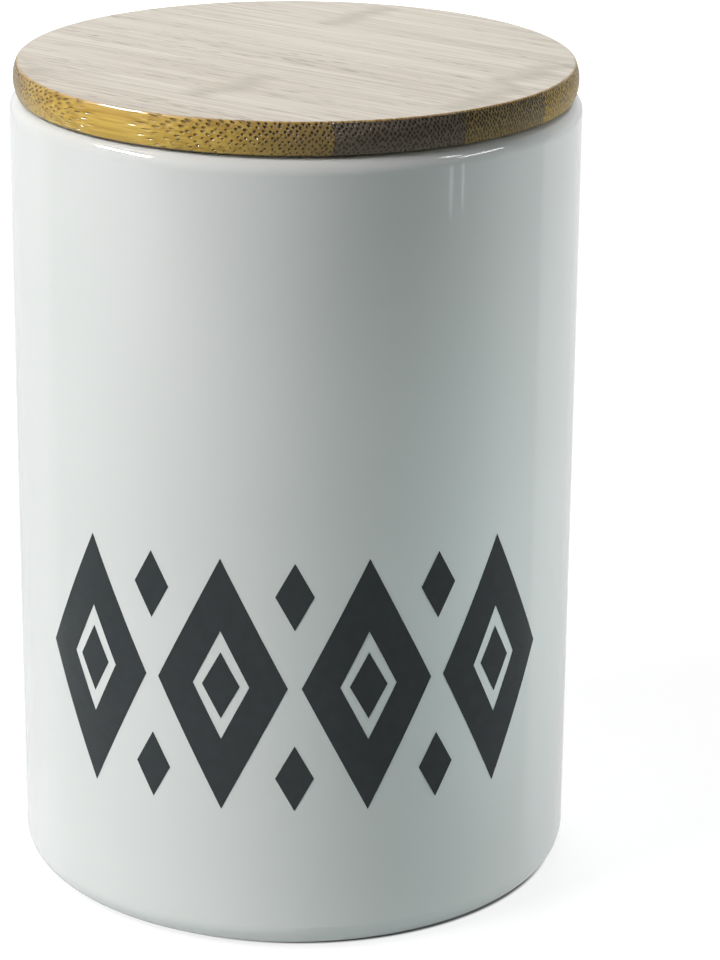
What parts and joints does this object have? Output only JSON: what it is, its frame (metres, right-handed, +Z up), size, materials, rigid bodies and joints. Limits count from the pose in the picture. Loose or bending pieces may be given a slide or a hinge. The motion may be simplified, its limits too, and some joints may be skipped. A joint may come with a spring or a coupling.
{
  "type": "lidded kitchen canister",
  "caption": "Straight-sided glazed stoneware canister with a flat bamboo lid, whose grooved plug and silicone ring close the mouth. Keeps salt or other dry food.",
  "frame": {"origin": "centre of the foot ring, on the surface that the canister stands on", "axes": "+Z up along the jar's axis, -Y towards the decorated front"},
  "size_m": [0.102, 0.102, 0.1505],
  "materials": {
    "glazed_stoneware": "glossy white glaze, bare foot ring",
    "bamboo": "sanded and oiled bamboo",
    "silicone": "milky translucent silicone"
  },
  "bodies": {
    "jar": {"jar": "glazed_stoneware"},
    "seal": {"seal_ring": "silicone"},
    "lid": {"lid_strip_1": "bamboo", "lid_strip_2": "bamboo", "lid_strip_3": "bamboo", "lid_strip_4": "bamboo", "lid_strip_5": "bamboo", "lid_strip_6": "bamboo", "plug_strip_1": "bamboo", "plug_strip_2": "bamboo", "plug_strip_3": "bamboo", "plug_strip_4": "bamboo", "plug_strip_5": "bamboo"}
  },
  "joints": [
    {"name": "lid_lift", "type": "slide", "parent": "jar", "child": "seal", "axis": [0, 0, 1], "range_m": [0, 0.12]},
    {"name": "lid_turn", "type": "hinge", "parent": "seal", "child": "lid", "pos_m": [0, 0, 0.1446], "axis": [0, 0, 1], "continuous": true}
  ]
}
